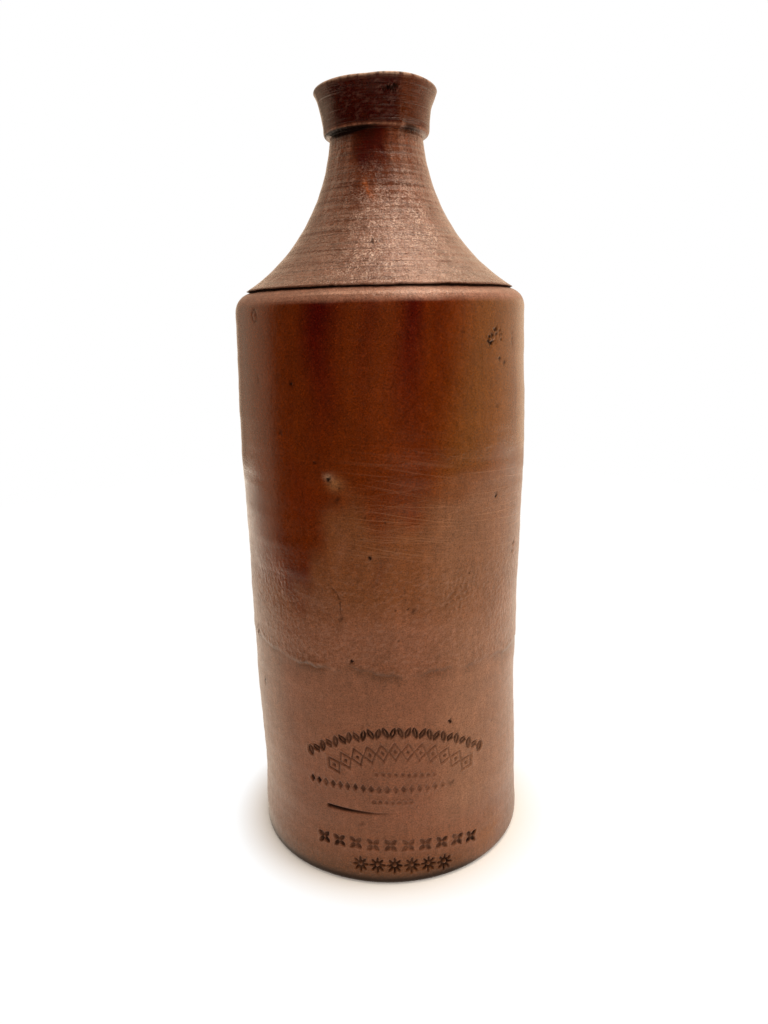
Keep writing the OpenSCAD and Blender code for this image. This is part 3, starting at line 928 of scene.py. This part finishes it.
# Each edge of the paper: the direction it lies in, in degrees, and its distance from the middle in metres.
sheet_edges = [(-52, 0.275), (48, 0.52), (140, 0.62), (-132, 0.62)]
sheet_corners = []
for (turn_a, reach_a), (turn_b, reach_b) in zip(sheet_edges, sheet_edges[1:] + sheet_edges[:1]):
    normals = np.array([[np.sin(np.radians(t)), -np.cos(np.radians(t))] for t in (turn_a, turn_b)])
    sheet_corners.append((*np.linalg.solve(normals, (reach_a, reach_b)), 0))
sheet = bpy.data.meshes.new("paper")
sheet.from_pydata(sheet_corners, [], [[0, 1, 2, 3]])
table = bpy.data.objects.new("paper", sheet)
bpy.context.collection.objects.link(table)

paper = bpy.data.materials.new("white_paper")
paper.use_nodes = True
tree = paper.node_tree
tree.nodes.clear()
rays = add("ShaderNodeLightPath").outputs
seen = maths("MAXIMUM", rays["Is Camera Ray"], rays["Is Transmission Ray"])
spot = add("ShaderNodeTexCoord").outputs["Object"]
from_axis = add("ShaderNodeVectorMath", (0, spot), operation="LENGTH").outputs["Value"]
share = maths("MULTIPLY", seen, ramp(from_axis, 0.0455, 0.057, 0.05, 0.95))
share = maths("MAXIMUM", share, rays["Is Glossy Ray"])
matt = add("ShaderNodeBsdfDiffuse", ("Color", (0.93, 0.87, 0.8, 1)))
shine = add("ShaderNodeMix", ("Factor", seen), data_type="RGBA")
shine.inputs[6].default_value, shine.inputs[7].default_value = (1, 0.86, 0.7, 1), (1, 1, 1, 1)
across = add("ShaderNodeSeparateXYZ", (0, spot)).outputs
daylight = ramp(across["Y"], -0.2, 0.15, 0.9, 2.0)
for turned_to, reach in sheet_edges[:2]:
    towards = (np.sin(np.radians(turned_to)), -np.cos(np.radians(turned_to)), 0)
    out = add("ShaderNodeVectorMath", (0, spot), (1, towards), operation="DOT_PRODUCT").outputs["Value"]
    daylight = maths("MULTIPLY", daylight, ramp(out, reach, reach - 0.1))
daylight = maths("ADD", maths("MULTIPLY", daylight, rays["Is Glossy Ray"]), maths("MULTIPLY", seen, 1.03))
white = add("ShaderNodeEmission", ("Color", shine.outputs[2]), ("Strength", daylight))
lit = add("ShaderNodeMixShader", (0, share), (1, matt.outputs[0]), (2, white.outputs[0]))
tree.links.new(lit.outputs[0], add("ShaderNodeOutputMaterial").inputs[0])
sheet.materials.append(paper)

world = bpy.data.worlds.new("tent")
bpy.context.scene.world = world
world.use_nodes = True
tree = world.node_tree
tree.nodes.clear()
rays = add("ShaderNodeLightPath").outputs
axes = add("ShaderNodeSeparateXYZ", (0, add("ShaderNodeTexCoord").outputs["Generated"])).outputs
rightward = maths("ADD", axes["Y"], maths("MULTIPLY", maths("MAXIMUM", axes["X"], 0.0), 0.55))
tent = maths("MAXIMUM", ramp(axes["Y"], 0.06, 0.14), ramp(rightward, 0.02, 0.95))
tent = maths("MAXIMUM", tent, ramp(axes["Z"], 0.72, 0.95))
soft_tent = ramp(tent, 0, 1, 0.42, 0.95)
far_right = maths("MULTIPLY", ramp(axes["X"], -0.6, 0.6), ramp(axes["Y"], 0.0, 0.8, 0.15, 0.62))
seam = ramp(maths("ABSOLUTE", maths("SUBTRACT", axes["Y"], 0.83)), 0.03, 0.07, 0.4, 1.0)
lit_seam = maths("MAXIMUM", seam, ramp(axes["X"], -0.3, 0.0))
mirrored = maths("MULTIPLY", maths("ADD", far_right, 0.6), lit_seam)
mirrored = maths("MULTIPLY", tent, maths("MAXIMUM", mirrored, ramp(axes["Y"], 0.87, 0.95)))
strength = add("ShaderNodeMix", ("Factor", rays["Is Glossy Ray"]), ("A", soft_tent), ("B", mirrored))
strength = strength.outputs[0]
seen = maths("MAXIMUM", rays["Is Camera Ray"], rays["Is Transmission Ray"])
strength = maths("MAXIMUM", strength, seen)
glow = add("ShaderNodeMix", ("Factor", rays["Is Glossy Ray"]), data_type="RGBA")
glow.inputs[6].default_value, glow.inputs[7].default_value = (1, 0.88, 0.76, 1), (1, 0.72, 0.5, 1)
warm = add("ShaderNodeMix", ("Factor", seen), (6, glow.outputs[2]), data_type="RGBA")
warm.inputs[7].default_value = (1, 1, 1, 1)
backdrop = add("ShaderNodeBackground", ("Color", warm.outputs[2]), ("Strength", strength))
tree.links.new(backdrop.outputs[0], add("ShaderNodeOutputWorld").inputs[0])


def lamp(name, place, size, power, glossy, colour=(1, 1, 1)):
    """Square soft lamp that looks at the middle of the bottle."""
    light = bpy.data.lights.new(name, "AREA")
    light.shape, light.size, light.energy = "SQUARE", size, power
    light.color = colour
    holder = bpy.data.objects.new(name, light)
    aim = Vector((0, 0, 0.11)) - Vector(place)
    holder.matrix_world = Matrix.Translation(place) @ aim.to_track_quat("-Z", "Y").to_matrix().to_4x4()
    holder.visible_glossy = glossy
    holder.visible_camera = False
    bpy.context.collection.objects.link(holder)


lamp("overhead", (0.28, -0.02, 1.1), 0.45, 4.6, True, (1, 0.9, 0.78))
lamp("front_fill", (0.0, -1.3, 0.7), 1.2, 8.0, False)
lamp("right_side", (1.1, -0.25, 0.4), 0.8, 7.0, False)


# The camera
# It stood a quarter of a metre from the bottle's axis, a little above the middle, tipped down and rolled.
# The lens is given by its focal length in pixels of the picture.
camera_height, camera_distance, camera_shift = 0.1737, 0.2545, -0.0001
tip_down, roll = 13.89, 1.25
picture_height, focal_pixels, sensor = 1024, 769.0, 36.0
camera = bpy.data.cameras.new("camera")
camera.sensor_fit, camera.sensor_width = "AUTO", sensor
camera.lens = focal_pixels / picture_height * sensor
camera.clip_start = 0.01
holder = bpy.data.objects.new("camera", camera)
aim = Matrix.Rotation(np.radians(90 - tip_down), 4, "X") @ Matrix.Rotation(np.radians(-roll), 4, "Z")
holder.matrix_world = Matrix.Translation((camera_shift, -camera_distance, camera_height)) @ aim
bpy.context.collection.objects.link(holder)
bpy.context.scene.camera = holder
bpy.context.scene.view_settings.view_transform = "Standard"
